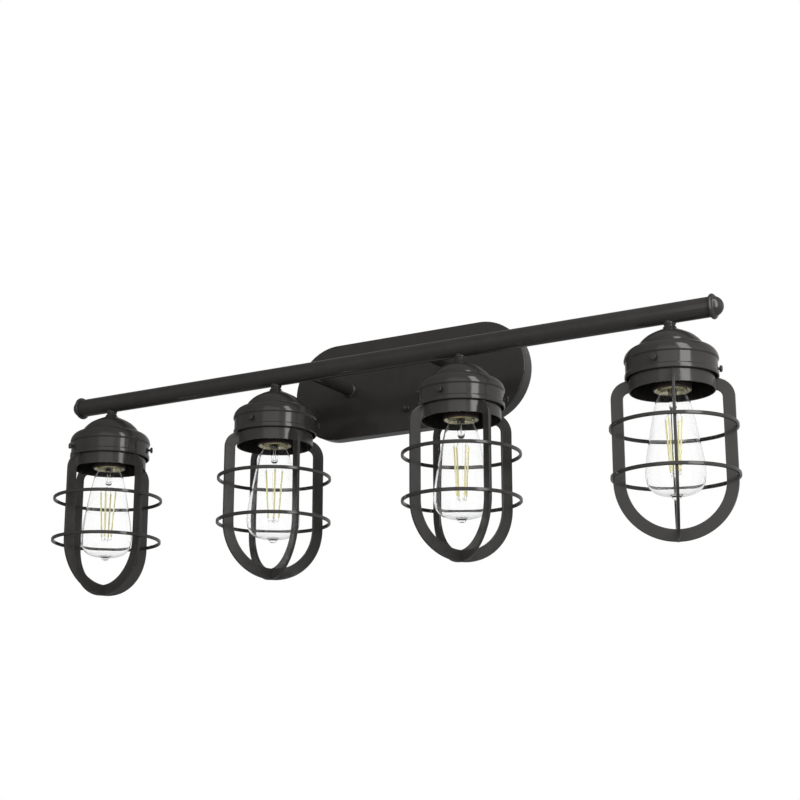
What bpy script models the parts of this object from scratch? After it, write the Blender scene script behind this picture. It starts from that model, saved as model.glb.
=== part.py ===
"""Vanity light bar: a wall canopy, two arms and a bar with four caged lamp heads.

Metres, +Z up. The origin is on the wall plane, in the middle of the bar's height and length.
+X runs along the bar, +Y goes into the wall, and the room is on the -Y side.
"""

from math import cos, pi, radians, sin

import bmesh
import bpy

# Driving dimensions -------------------------------------------------------------------------

BAR_OUT = 0.1087            # wall to bar axis
BAR_RADIUS = 0.0106
BAR_WALL = 0.0014
BAR_HALF = 0.4046
LAMP_PITCH = 0.240
LAMP_COUNT = 4
ARM_X = 0.077               # arm axes, either side of the middle
ARM_RADIUS = 0.0070
ARM_BORE = 0.0045
ARM_SPIGOT = 0.0055         # part that passes through the canopy
ARM_SPIGOT_DEPTH = 0.006
ARM_COLLAR = 0.0090
ARM_HOLE = 0.0059           # in the canopy

END_TIP = 0.4175            # tip of an end cap's dome, from the middle of the bar
END_DOME_RADIUS = 0.0101
END_FLANGE_RADIUS = 0.0132
END_FLANGE_THICK = 0.0046
END_PLUG = 0.008            # length pressed into the bar

CANOPY_HALF_LENGTH = 0.1529
CANOPY_HALF_HEIGHT = 0.0578
CANOPY_DEPTH = 0.0173
CANOPY_WALL = 0.0012
CANOPY_EDGE = 0.0016        # rounding of the front edge

STRAP_HALF_HEIGHT = 0.052
STRAP_HALF_WIDTH = 0.009
STRAP_THICK = 0.002
STUD_Z = 0.0325
STUD_RADIUS = 0.002
STUD_END = 0.0228           # tip of a stud, out from the wall
SLOT_Z = 0.0435             # junction-box screws, 3 1/2 inch box pattern
SLOT_HALF_WIDTH = 0.0021
SLOT_LENGTH = 0.010
GROUND_X = 0.0045
GROUND_Z = 0.012
GROUND_SHANK = 0.0016
GROUND_HOLE = 0.0019
GROUND_HEAD = 0.0034
GROUND_HEAD_HEIGHT = 0.0022
STUD_CLEARANCE = 0.0005
NUT_RADIUS = 0.0037
NUT_SKIRT = 0.0044
NUT_HEIGHT = 0.0078

GAP = 0.0003                # clearance between neighbouring pieces

STEM_RADIUS = 0.0048        # 1/8 IP threaded nipple
STEM_BORE = 0.0040
STEM_TOP = -0.0062          # inside the bar, clear of the wires
NECK_RADIUS = 0.0063
NECK_FOOT = 0.0070
WIRE_RADIUS = 0.0011
WIRE_OUT = 0.0022           # how far each conductor lies from the bar's axis: outwards,
WIRE_UP = 0.0025            # upwards,
WIRE_ASIDE = 0.0015         # and aside from the lamp's axis
WIRE_END = 0.009            # behind the canopy's front

CAP_TOP = -0.0155
CAP_RIM = -0.0365
CAP_RADIUS = 0.0338
SHEET = 0.0010              # spun sheet thickness of caps, holders and cage bands

HOLDER_RADIUS = 0.0463
HOLDER_SHOULDER = 0.0477
HOLDER_SHOULDER_Z = -0.0490 # where the shoulder's quarter round ends
HOLDER_LIP = 0.0473
HOLDER_LIP_HEIGHT = 0.0042
HOLDER_BOTTOM = -0.0690
HOLDER_TURN = 5.0           # sets the facets clear of the screw holes, degrees

SCREW_Z = -0.058
SCREW_AZIMUTHS = {"a": 0.0, "b": 120.0, "c": 240.0}   # from the room side, towards +X
FIRST_LAMP_SCREW = -31.0    # screw a of lamp 1 sits further round
SCREW_TIP = 0.0435
SCREW_HEAD = 0.0486
SCREW_END = 0.0512
SCREW_HEAD_RADIUS = 0.0035
SCREW_CHAMFER = 0.0005
SCREW_SHANK_RADIUS = 0.0015

SOCKET_RADIUS = 0.0195
SOCKET_BORE = 0.0137
SOCKET_TOP = -0.0440
SOCKET_MOUTH = -0.0815
SOCKET_MOUTH_RADIUS = 0.0167
SOCKET_CHAMFER = 0.0020
SOCKET_FLOOR = -0.0524

BASE_RADIUS = 0.0131        # E26 screw base
BASE_TOP = -0.0560
BASE_RIM = -0.0815
BASE_CONTACT = 0.0050
BASE_SHOULDER = 0.0105

BULB_BELLY = 0.0300
BULB_BELLY_Z = -0.1680
BULB_BOTTOM = -0.1875
BULB_WALL = 0.0010
BULB_IN_BASE = 0.0123       # neck inside the screw base
BULB_THROAT = 0.0141        # neck just below it
NUB_RADIUS = 0.0055
NUB_TIP = -0.1930
BULB_STEPS = 4              # steps down the glass from throat to belly

BAND_RADIUS = 0.0432
BAND_TOP = -0.0500
BAND_BOTTOM = -0.0822
BAIL_HALF_WIDTH = 0.0618
BAIL_DEPTH = 0.0125         # radial width of the flat bar
BAIL_HALF_THICK = 0.0015
BAIL_TOP = -0.0700
BAIL_SHOULDER = 0.0190      # outer radius of the shoulder bend
BAIL_BEND_Z = -0.1722       # centre of the bottom half circle
BAIL_LAP = 0.0004           # the second bail hangs this much lower where the two cross
RING_RADIUS = 0.0650
RING_INNER = 0.0623
RING_HALF_HEIGHT = 0.0020
RING_HEIGHTS = {"upper": -0.1191, "lower": -0.1692}
CAGE_TURN = (78.5, 60.0, 57.0, 22.0)   # how each cage is turned in its holder, degrees

CUT = 0.010                 # length of a drill or slot cutter
SMALL = 8                   # segments round screws and wires
ROUND = 16                  # segments round most pieces
HOOP = 20                   # segments round the cage's hoops and the bar

COLLECTION = "vanity_light_bar"
CUTTERS = "cutters"

LAMPS = [(n + 1, (n - (LAMP_COUNT - 1) / 2) * LAMP_PITCH) for n in range(LAMP_COUNT)]

# Looks: base colour, metallic, roughness ----------------------------------------------------

LOOKS = {
    "bronze": ((0.030, 0.027, 0.025), 0.75, 0.34),
    "cage_bronze": ((0.040, 0.037, 0.034), 0.75, 0.32),
    "zinc": ((0.52, 0.53, 0.54), 1.0, 0.38),
    "brass": ((0.78, 0.57, 0.24), 1.0, 0.28),
    "phenolic": ((0.022, 0.016, 0.013), 0.0, 0.40),
    "glass": ((0.96, 0.96, 0.94), 0.0, 0.04),
    "black_wire": ((0.015, 0.015, 0.016), 0.0, 0.5),
    "white_wire": ((0.82, 0.82, 0.80), 0.0, 0.5),
    "green_screw": ((0.05, 0.32, 0.10), 0.3, 0.4),
}


def material(look, name):
    colour, metallic, roughness = LOOKS[look]
    mat = bpy.data.materials.new(name)
    mat.use_nodes = True
    shader = mat.node_tree.nodes["Principled BSDF"]
    shader.inputs["Base Color"].default_value = (*colour, 1.0)
    shader.inputs["Metallic"].default_value = metallic
    shader.inputs["Roughness"].default_value = roughness
    mat.diffuse_color = (*colour, 1.0)
    return mat


# Building tools -----------------------------------------------------------------------------

def clear_scene():
    for obj in list(bpy.data.objects):
        bpy.data.objects.remove(obj, do_unlink=True)


def collection(name):
    made = bpy.data.collections.new(name)
    bpy.context.scene.collection.children.link(made)
    return made


def add(name, mesh, look, smooth=40):
    """Link a mesh as one named piece with its own material."""
    obj = bpy.data.objects.new(name, mesh)
    bpy.data.collections[COLLECTION].objects.link(obj)
    mesh.materials.clear()
    mesh.materials.append(material(look, name))
    mesh.shade_smooth()
    mesh.set_sharp_from_angle(angle=radians(smooth))
    return obj


def add_cutter(name, mesh):
    obj = bpy.data.objects.new(name, mesh)
    bpy.data.collections[CUTTERS].objects.link(obj)
    obj.hide_render = True
    obj.display_type = "WIRE"
    return obj


def outline_mesh(name, points, closed):
    mesh = bpy.data.meshes.new(name)
    count = len(points)
    edges = [(i, (i + 1) % count) for i in range(count if closed else count - 1)]
    mesh.from_pydata([(r, 0.0, z) for r, z in points], edges, [])
    return mesh


def screw(obj, segments):
    mod = obj.modifiers.new("turned", "SCREW")
    mod.axis = "Z"
    mod.angle = 2 * pi
    mod.steps = mod.render_steps = segments
    mod.use_merge_vertices = True
    mod.merge_threshold = 0.00001
    return mod


def turned(name, points, look, segments=ROUND, closed=False):
    """Turn an outline of (radius, height) points about Z; a closed outline makes a ring."""
    obj = add(name, outline_mesh(name, points, closed), look)
    screw(obj, segments)
    return obj


def boolean(obj, other, operation):
    mod = obj.modifiers.new(operation.lower(), "BOOLEAN")
    mod.operation = operation
    mod.solver = "EXACT"
    mod.object = other
    return mod


def rod_mesh(name, radius, length, segments=ROUND):
    """A round bar along Z, centred on its origin."""
    mesh = bpy.data.meshes.new(name)
    bm = bmesh.new()
    bmesh.ops.create_cone(bm, cap_ends=True, segments=segments, radius1=radius,
                          radius2=radius, depth=length)
    bm.to_mesh(mesh)
    bm.free()
    return mesh


def box_mesh(name, size):
    mesh = bpy.data.meshes.new(name)
    bm = bmesh.new()
    bmesh.ops.create_cube(bm, size=1.0)
    bmesh.ops.scale(bm, vec=size, verts=bm.verts)
    bm.to_mesh(mesh)
    bm.free()
    return mesh


def drill(obj, name, radius, length, location, rotation=(0, 0, 0), segments=ROUND):
    cutter = add_cutter(name, rod_mesh(name, radius, length, segments))
    cutter.location = location
    cutter.rotation_euler = rotation
    boolean(obj, cutter, "DIFFERENCE")


def arc(centre_r, centre_z, radius, start, end, steps):
    """Points of an arc; 0 degrees points outward and 90 degrees up."""
    turns = [radians(start + (end - start) * i / steps) for i in range(steps + 1)]
    return [(centre_r + radius * cos(a), centre_z + radius * sin(a)) for a in turns]


def flat_plate(name, points, half_thickness):
    """Mesh of a flat outline in the XZ plane, thickened along Y."""
    curve = bpy.data.curves.new(name, "CURVE")
    curve.dimensions = "2D"
    curve.fill_mode = "BOTH"
    curve.extrude = half_thickness
    spline = curve.splines.new("POLY")
    spline.points.add(len(points) - 1)
    for point, (x, z) in zip(spline.points, points):
        point.co = (x, z, 0.0, 1.0)
    spline.use_cyclic_u = True
    temp = bpy.data.objects.new(name, curve)
    bpy.context.scene.collection.objects.link(temp)
    bpy.context.view_layer.update()
    graph = bpy.context.evaluated_depsgraph_get()
    mesh = bpy.data.meshes.new_from_object(temp.evaluated_get(graph))
    bpy.data.objects.remove(temp)
    bpy.data.curves.remove(curve)
    bm = bmesh.new()
    bm.from_mesh(mesh)
    bmesh.ops.remove_doubles(bm, verts=bm.verts, dist=0.000001)
    for vert in bm.verts:
        x, z, y = vert.co
        vert.co = (x, -y, z)
    bmesh.ops.recalc_face_normals(bm, faces=bm.faces)
    for side in (-1, 1):
        flat = [f for f in bm.faces if f.normal.y * side > 0.99]
        bmesh.ops.dissolve_faces(bm, faces=flat, use_verts=False)
    bm.to_mesh(mesh)
    bm.free()
    return mesh


def stadium(half_length, half_height, steps=10):
    """Outline of a flat shape with two half-round ends."""
    reach = half_length - half_height
    right = [(reach + x, z) for x, z in arc(0, 0, half_height, -90, 90, steps)]
    left = [(x - reach, z) for x, z in arc(0, 0, half_height, 90, 270, steps)]
    return right + left


# Wall side ----------------------------------------------------------------------------------

def make_canopy():
    """Pan with half-round ends, open at the wall, drilled for the arms and the cap nuts."""
    mesh = flat_plate("canopy", stadium(CANOPY_HALF_LENGTH, CANOPY_HALF_HEIGHT), CANOPY_DEPTH / 2)
    canopy = add("canopy", mesh, "bronze")
    canopy.location.y = -CANOPY_DEPTH / 2
    bm = bmesh.new()
    bm.from_mesh(mesh)
    front = [e for e in bm.edges if len(e.link_faces) == 2
             and all(v.co.y < 0 for v in e.verts) and e.calc_face_angle(0.0) > radians(60)]
    bmesh.ops.bevel(bm, geom=front, offset=CANOPY_EDGE, segments=2, affect="EDGES", profile=0.5)
    bm.to_mesh(mesh)
    bm.free()

    hollow_half = CANOPY_HALF_HEIGHT - CANOPY_WALL
    hollow_length = CANOPY_HALF_LENGTH - CANOPY_WALL
    hollow = add_cutter("canopy_hollow",
                        flat_plate("canopy_hollow", stadium(hollow_length, hollow_half),
                                   CANOPY_DEPTH / 2))
    hollow.location.y = -CANOPY_DEPTH / 2 + CANOPY_WALL
    boolean(canopy, hollow, "DIFFERENCE")
    through_y = (pi / 2, 0, 0)
    for side, x in (("left", -ARM_X), ("right", ARM_X)):
        drill(canopy, f"arm_hole_{side}", ARM_HOLE, CUT, (x, -CANOPY_DEPTH, 0), through_y)
    for side, z in (("upper", STUD_Z), ("lower", -STUD_Z)):
        drill(canopy, f"stud_hole_{side}", STUD_RADIUS + STUD_CLEARANCE, CUT,
              (0, -CANOPY_DEPTH, z), through_y)


def make_mounting_strap():
    """Steel strap screwed to the wall box, with the two studs that hold the canopy."""
    strap = add("mounting_strap",
                box_mesh("mounting_strap",
                         (2 * STRAP_HALF_WIDTH, STRAP_THICK, 2 * STRAP_HALF_HEIGHT)), "zinc")
    strap.location.y = -STRAP_THICK / 2
    stud_length = STUD_END - STRAP_THICK / 2
    for side, z in (("upper", STUD_Z), ("lower", -STUD_Z)):
        stud = add_cutter(f"stud_{side}", rod_mesh(f"stud_{side}", STUD_RADIUS, stud_length))
        stud.rotation_euler.x = pi / 2
        stud.location = (0, -STRAP_THICK / 2 - stud_length / 2, z)
        boolean(strap, stud, "UNION")
        slot = add_cutter(f"slot_{side}",
                          box_mesh(f"slot_{side}", (SLOT_LENGTH, CUT, 2 * SLOT_HALF_WIDTH)))
        slot.location = (0, 0, SLOT_Z if z > 0 else -SLOT_Z)
        boolean(strap, slot, "DIFFERENCE")
    drill(strap, "ground_hole", GROUND_HOLE, CUT, (GROUND_X, 0, GROUND_Z), (pi / 2, 0, 0))


def make_ground_screw():
    """Pan-head grounding screw in the strap."""
    reach = STRAP_THICK + GAP
    top = reach + GROUND_HEAD_HEIGHT
    points = [(0, top), (GROUND_HEAD * 0.65, top - 0.0001), (GROUND_HEAD, top - 0.0010),
              (GROUND_HEAD, reach), (GROUND_SHANK, reach), (GROUND_SHANK, GAP), (0, GAP)]
    obj = turned("ground_screw", points, "green_screw", 12)
    obj.rotation_euler.x = pi / 2
    obj.location = (GROUND_X, 0, GROUND_Z)


def make_cap_nuts():
    """Domed nuts that clamp the canopy on the studs."""
    face = CANOPY_DEPTH + GAP
    bore = STUD_RADIUS + GAP
    end = STUD_END + GAP
    points = [(0, face + NUT_HEIGHT)] + arc(0, face + NUT_HEIGHT - NUT_RADIUS, NUT_RADIUS, 70, 0, 3)
    points += [(NUT_RADIUS, face + 0.0016), (NUT_SKIRT, face + 0.0012), (NUT_SKIRT, face),
               (bore, face), (bore, end), (0, end)]
    for side, z in (("upper", STUD_Z), ("lower", -STUD_Z)):
        obj = turned(f"cap_nut_{side}", points, "bronze", 12)
        obj.rotation_euler.x = pi / 2
        obj.location.z = z


# Bar ----------------------------------------------------------------------------------------

def make_arms():
    """Tube from the canopy to the bar: spigot, collar, plain tube, saddle against the bar."""
    face = CANOPY_DEPTH + GAP
    back = CANOPY_DEPTH - ARM_SPIGOT_DEPTH
    points = [(ARM_RADIUS, BAR_OUT), (ARM_RADIUS, face + 0.0030), (ARM_COLLAR - 0.0004, face + 0.0022),
              (ARM_COLLAR, face), (ARM_SPIGOT, face), (ARM_SPIGOT, back), (ARM_BORE, back),
              (ARM_BORE, BAR_OUT)]
    saddle = add_cutter("bar_saddle", rod_mesh("bar_saddle", BAR_RADIUS + GAP, 2.2 * BAR_HALF, HOOP))
    saddle.rotation_euler.y = pi / 2
    saddle.location.y = -BAR_OUT
    for side, x in (("left", -ARM_X), ("right", ARM_X)):
        arm = turned(f"arm_{side}", points, "bronze", closed=True)
        arm.rotation_euler.x = pi / 2
        arm.location.x = x
        boolean(arm, saddle, "DIFFERENCE")
    return saddle


def make_bar():
    """Round tube, drilled below for the lamp stems and behind for the arms' wires."""
    inner = BAR_RADIUS - BAR_WALL
    points = [(BAR_RADIUS, BAR_HALF), (BAR_RADIUS, -BAR_HALF), (inner, -BAR_HALF), (inner, BAR_HALF)]
    bar = turned("bar", points, "bronze", HOOP, closed=True)
    bar.rotation_euler.y = pi / 2
    bar.location.y = -BAR_OUT
    for n, x in LAMPS:
        drill(bar, f"stem_hole_{n}", STEM_RADIUS + GAP, CUT, (x, -BAR_OUT, -BAR_RADIUS))
    for side, x in (("left", -ARM_X), ("right", ARM_X)):
        drill(bar, f"wire_hole_{side}", ARM_BORE, CUT, (x, -BAR_OUT + BAR_RADIUS, 0),
              (pi / 2, 0, 0))


def make_end_caps():
    """Button with a soft flange and a bluntly pointed dome, which plugs each end of the bar."""
    spigot = BAR_RADIUS - BAR_WALL - GAP
    flange = BAR_HALF + GAP
    dome, height = END_DOME_RADIUS, END_TIP - flange - END_FLANGE_THICK
    points = [(dome * r, END_TIP - height * z) for r, z in ((0, 0), (0.44, 0.11), (0.80, 0.46), (1, 1))]
    edge, thick = END_FLANGE_RADIUS, END_FLANGE_THICK
    points += [(edge - 0.0012, flange + thick * 0.86), (edge, flange + thick * 0.60),
               (edge, flange + thick * 0.28), (edge - 0.0009, flange)]
    points += [(spigot, flange), (spigot, flange - END_PLUG), (0, flange - END_PLUG)]
    for side, turn in (("left", -pi / 2), ("right", pi / 2)):
        cap = turned(f"end_cap_{side}", points, "bronze", ROUND)
        cap.rotation_euler.y = turn
        cap.location.y = -BAR_OUT


def make_wire(name, look, side, arm_x):
    """One conductor: in through an arm, along the bar, and down to each socket."""
    y = -BAR_OUT + side * WIRE_OUT
    z = side * WIRE_UP
    first, last = LAMPS[0][1], LAMPS[-1][1]
    shift = -side * WIRE_ASIDE
    run = add(name, rod_mesh(name, WIRE_RADIUS, last - first + 4 * WIRE_RADIUS, SMALL), look)
    run.rotation_euler.y = pi / 2
    run.location = (shift, y, z)
    low = SOCKET_TOP + 0.003
    for n, x in LAMPS:
        drop = add_cutter(f"{name}_drop_{n}", rod_mesh(f"{name}_drop_{n}", WIRE_RADIUS, z - low, SMALL))
        drop.location = (x + shift, y, (z + low) / 2)
        drop.rotation_euler.z = radians(11)
        boolean(run, drop, "UNION")
    end = -CANOPY_DEPTH + WIRE_END
    lead = add_cutter(f"{name}_lead", rod_mesh(f"{name}_lead", WIRE_RADIUS, end - y, SMALL))
    lead.rotation_euler.x = pi / 2
    lead.location = (arm_x, (end + y) / 2, z)
    boolean(run, lead, "UNION")


# Lamp heads ---------------------------------------------------------------------------------

def place(obj, x):
    obj.location = (x, -BAR_OUT, 0)
    return obj


def make_stem(n, x, saddle):
    """Threaded nipple, with the visible neck that is saddled against the bar."""
    nipple = [(STEM_RADIUS, STEM_TOP), (STEM_RADIUS, SOCKET_TOP + 2 * GAP),
              (STEM_BORE, SOCKET_TOP + 2 * GAP), (STEM_BORE, STEM_TOP)]
    stem = place(turned(f"stem_{n}", nipple, "bronze", 12, closed=True), x)
    wall = (STEM_RADIUS + STEM_BORE) / 2
    low = CAP_TOP + GAP
    points = [(NECK_RADIUS, STEM_TOP), (NECK_RADIUS, low + 0.0020), (NECK_FOOT, low + 0.0010),
              (NECK_FOOT, low), (wall, low), (wall, STEM_TOP + 0.0004)]
    neck = add_cutter(f"neck_{n}", outline_mesh(f"neck_{n}", points, True))
    screw(place(neck, x), ROUND)
    boolean(neck, saddle, "DIFFERENCE")
    boolean(stem, neck, "UNION")


def make_cap(n, x):
    """Bell-shaped cap over the holder's top."""
    outer = [(0.0070, CAP_TOP), (0.0088, -0.0174), (0.0180, -0.0216), (0.0258, -0.0262),
             (0.0311, -0.0314), (CAP_RADIUS, CAP_RIM)]
    inner = [(CAP_RADIUS - SHEET, CAP_RIM), (0.0302, -0.0319), (0.0251, -0.0270),
             (0.0175, -0.0226), (0.0082, -0.0184), (STEM_RADIUS + GAP, -0.0166),
             (STEM_RADIUS + GAP, CAP_TOP)]
    place(turned(f"cap_{n}", outer + inner, "bronze", ROUND, closed=True), x)


def screw_azimuths(n):
    """Where the three thumbscrews of a lamp sit."""
    return {**SCREW_AZIMUTHS, "a": FIRST_LAMP_SCREW} if n == 1 else SCREW_AZIMUTHS


def make_holder(n, x):
    """Spun gallery: shoulder, straight wall and rolled lip, with three tapped holes."""
    top = CAP_RIM - GAP

    def quarter(flat, wall, height):
        """Quarter-round shoulder from a flat top's edge to a wall."""
        turns = [radians(30 * i) for i in range(4)]
        return [(flat + (wall - flat) * sin(a), HOLDER_SHOULDER_Z + height * cos(a)) for a in turns]

    outer = quarter(CAP_RADIUS, HOLDER_SHOULDER, top - HOLDER_SHOULDER_Z)
    outer += [(HOLDER_SHOULDER, HOLDER_SHOULDER_Z - 0.0020), (HOLDER_RADIUS, HOLDER_SHOULDER_Z - 0.0034),
              (HOLDER_RADIUS, HOLDER_BOTTOM + HOLDER_LIP_HEIGHT + 0.0010),
              (HOLDER_LIP, HOLDER_BOTTOM + HOLDER_LIP_HEIGHT),
              (HOLDER_LIP, HOLDER_BOTTOM)]
    inner_wall = HOLDER_RADIUS - SHEET
    inner = [(inner_wall, HOLDER_BOTTOM)]
    inner += quarter(CAP_RADIUS - GAP, inner_wall, top - SHEET - HOLDER_SHOULDER_Z)[::-1]
    inner += [(STEM_RADIUS + GAP, top - SHEET), (STEM_RADIUS + GAP, top)]
    holder = place(turned(f"holder_{n}", outer + inner, "bronze", ROUND, closed=True), x)
    holder.rotation_euler.z = radians(HOLDER_TURN)
    for key, azimuth in screw_azimuths(n).items():
        turn = radians(azimuth)
        spot = (x + HOLDER_RADIUS * sin(turn), -BAR_OUT - HOLDER_RADIUS * cos(turn), SCREW_Z)
        drill(holder, f"screw_hole_{n}{key}", SCREW_SHANK_RADIUS + GAP, CUT, spot,
              (pi / 2, 0, turn), SMALL)


def make_thumbscrews(n, x):
    """Three radial screws that pinch the cage's band; each one's local Z is its axis."""
    points = [(0, SCREW_END), (SCREW_HEAD_RADIUS - SCREW_CHAMFER, SCREW_END),
              (SCREW_HEAD_RADIUS, SCREW_END - SCREW_CHAMFER), (SCREW_HEAD_RADIUS, SCREW_HEAD),
              (SCREW_SHANK_RADIUS, SCREW_HEAD), (SCREW_SHANK_RADIUS, SCREW_TIP), (0, SCREW_TIP)]
    for key, azimuth in screw_azimuths(n).items():
        obj = turned(f"thumbscrew_{n}{key}", points, "bronze", SMALL)
        obj.location = (x, -BAR_OUT, SCREW_Z)
        obj.rotation_euler = (pi / 2, 0, radians(azimuth))


def make_socket(n, x):
    """Lamp socket: a phenolic cup that the bulb's base screws into."""
    points = [(0, SOCKET_TOP), (SOCKET_RADIUS - SOCKET_CHAMFER, SOCKET_TOP),
              (SOCKET_RADIUS, SOCKET_TOP - SOCKET_CHAMFER), (SOCKET_RADIUS, SOCKET_MOUTH),
              (SOCKET_MOUTH_RADIUS, SOCKET_MOUTH), (SOCKET_BORE, SOCKET_MOUTH + 0.0040),
              (SOCKET_BORE, SOCKET_FLOOR), (0, SOCKET_FLOOR)]
    place(turned(f"socket_{n}", points, "phenolic", 12), x)


def make_bulb(n, x):
    """Screw base and glass envelope; the glass is a shell, open where it enters the base."""
    bore = BULB_IN_BASE + GAP
    base = [(0, BASE_TOP + 0.0030), (BASE_CONTACT - 0.0005, BASE_TOP + 0.0026),
            (BASE_CONTACT, BASE_TOP + 0.0006), (BASE_SHOULDER, BASE_TOP),
            (BASE_RADIUS, BASE_TOP - 0.0030), (BASE_RADIUS, BASE_RIM), (bore, BASE_RIM),
            (bore, BASE_TOP - 0.0040), (BASE_SHOULDER - SHEET, BASE_TOP - 0.0015),
            (0, BASE_TOP - 0.0015)]
    place(turned(f"bulb_base_{n}", base, "brass", 12), x)

    throat_z = BASE_RIM - 0.0030

    def wall(inset):
        neck = BULB_IN_BASE - inset
        side = [(neck, BASE_TOP - 0.0100), (neck, BASE_RIM + 0.0005)]
        for i in range(BULB_STEPS + 1):
            t = i / BULB_STEPS
            swell = sin(t * pi / 2) ** 1.35
            side.append((BULB_THROAT + (BULB_BELLY - BULB_THROAT) * swell - inset,
                         throat_z + (BULB_BELLY_Z - throat_z) * t))
        dome = BULB_BELLY_Z - BULB_BOTTOM - inset
        side += [((BULB_BELLY - inset) * cos(a), BULB_BELLY_Z - dome * sin(a))
                 for a in (radians(25 * i) for i in range(1, 3))]
        return side

    inner = [(0, BULB_BOTTOM + BULB_WALL)] + wall(BULB_WALL)[::-1]
    outer = wall(0.0) + [(NUB_RADIUS, BULB_BOTTOM), (NUB_RADIUS * 0.7, NUB_TIP + 0.001), (0, NUB_TIP)]
    place(turned(f"bulb_glass_{n}", inner + outer, "glass", 12), x)


def bail_outline(bend_z):
    """One U-shaped flat bar, seen square on, with shoulders that meet the band."""
    outer, inner = BAIL_HALF_WIDTH, BAIL_HALF_WIDTH - BAIL_DEPTH
    reach = outer - BAIL_SHOULDER
    shoulder_z = BAIL_TOP - BAIL_SHOULDER
    bite = BAND_RADIUS - 0.0006
    points = [(bite, BAIL_TOP)] + arc(reach, shoulder_z, BAIL_SHOULDER, 85, 0, 4)
    points += arc(0, bend_z, outer, 0, -180, 12)
    points += [(-r, z) for r, z in arc(reach, shoulder_z, BAIL_SHOULDER, 0, 85, 4)]
    points += [(-bite, BAIL_TOP), (-bite, BAIL_TOP - BAIL_DEPTH)]
    inner_bend = BAIL_SHOULDER - BAIL_DEPTH
    points += [(-r, z) for r, z in arc(reach, shoulder_z, inner_bend, 75, 0, 3)]
    points += arc(0, bend_z, inner, -180, 0, 12)
    points += arc(reach, shoulder_z, inner_bend, 0, 75, 3)
    points += [(bite, BAIL_TOP - BAIL_DEPTH)]
    return points


def make_cage(n, x, turn):
    """Welded cage: a band, two crossed bails, and two hoops outside them."""
    band = [(BAND_RADIUS, BAND_TOP), (BAND_RADIUS, BAND_BOTTOM),
            (BAND_RADIUS - SHEET, BAND_BOTTOM), (BAND_RADIUS - SHEET, BAND_TOP)]
    frame = place(turned(f"cage_frame_{n}", band, "cage_bronze", ROUND, closed=True), x)
    frame.rotation_euler.z = radians(turn)
    for key, quarter, lap in (("a", 0.0, 0.0), ("b", 90.0, BAIL_LAP)):
        name = f"bail_{n}{key}"
        bail = add_cutter(name, flat_plate(name, bail_outline(BAIL_BEND_Z - lap), BAIL_HALF_THICK))
        place(bail, x)
        bail.rotation_euler.z = radians(turn + 90.0 + quarter)
        boolean(frame, bail, "UNION")
    for key, z in RING_HEIGHTS.items():
        low, high = z - RING_HALF_HEIGHT, z + RING_HALF_HEIGHT
        ring = [(RING_RADIUS, high), (RING_RADIUS, low), (RING_INNER, low), (RING_INNER, high)]
        obj = place(turned(f"cage_ring_{key}_{n}", ring, "cage_bronze", HOOP, closed=True), x)
        obj.rotation_euler.z = radians(turn)


def main():
    clear_scene()
    collection(COLLECTION)
    collection(CUTTERS)
    make_canopy()
    make_mounting_strap()
    make_ground_screw()
    make_cap_nuts()
    saddle = make_arms()
    make_bar()
    make_end_caps()
    make_wire("wire_line", "black_wire", 1, -ARM_X)
    make_wire("wire_neutral", "white_wire", -1, ARM_X)
    for (n, x), turn in zip(LAMPS, CAGE_TURN):
        make_stem(n, x, saddle)
        make_cap(n, x)
        make_holder(n, x)
        make_thumbscrews(n, x)
        make_socket(n, x)
        make_bulb(n, x)
        make_cage(n, x, turn)


main()
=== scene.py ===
"""Looks of the vanity light bar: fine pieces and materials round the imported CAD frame.

Metres, +Z up, the CAD's own frame: the wall is the plane y = 0 and the room is on the -Y side.
"""

from math import atan2, cos, pi, radians, sin, sqrt, tau

import bmesh
import bpy
from mathutils import Matrix, Vector


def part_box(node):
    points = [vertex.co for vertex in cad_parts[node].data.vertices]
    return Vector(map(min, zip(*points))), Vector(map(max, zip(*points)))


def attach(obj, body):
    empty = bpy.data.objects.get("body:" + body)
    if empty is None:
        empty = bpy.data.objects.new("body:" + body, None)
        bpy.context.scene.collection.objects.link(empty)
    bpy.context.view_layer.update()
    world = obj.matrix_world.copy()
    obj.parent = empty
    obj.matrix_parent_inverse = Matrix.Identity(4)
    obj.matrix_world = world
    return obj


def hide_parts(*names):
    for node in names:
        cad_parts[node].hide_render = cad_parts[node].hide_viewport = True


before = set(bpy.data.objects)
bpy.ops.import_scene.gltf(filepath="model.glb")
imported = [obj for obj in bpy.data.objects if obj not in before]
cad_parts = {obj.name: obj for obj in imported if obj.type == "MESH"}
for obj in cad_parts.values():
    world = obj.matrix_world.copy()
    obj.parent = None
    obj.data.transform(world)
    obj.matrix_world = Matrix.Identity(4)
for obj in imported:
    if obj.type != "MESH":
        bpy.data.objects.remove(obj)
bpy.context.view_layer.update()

# Sizes --------------------------------------------------------------------------------------

MM = 0.001
LAMPS = (1, 2, 3, 4)
CAGE_TURN = {1: 78.5, 2: 60.0, 3: 57.0, 4: 22.0}    # how each cage is turned in its holder, degrees

BAR_LOW, BAR_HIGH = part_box("bar")
BAR_Y = (BAR_LOW.y + BAR_HIGH.y) / 2
BAR_RADIUS = (BAR_HIGH.z - BAR_LOW.z) / 2
BAR_HALF = BAR_HIGH.x
CANOPY_LOW, CANOPY_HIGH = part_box("canopy")
CANOPY_DEPTH = -CANOPY_LOW.y

E26_PITCH = 25.4 / 7 * MM     # seven turns to the inch
FIXTURE = "fixture"
SEGMENTS = 96                 # round a turned part, where nothing else is said


def middle(node):
    """Centre of a CAD node's box."""
    low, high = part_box(node)
    return (low + high) / 2


LAMP_X = {n: middle(f"stem_{n}").x for n in LAMPS}


# Materials ----------------------------------------------------------------------------------

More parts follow.
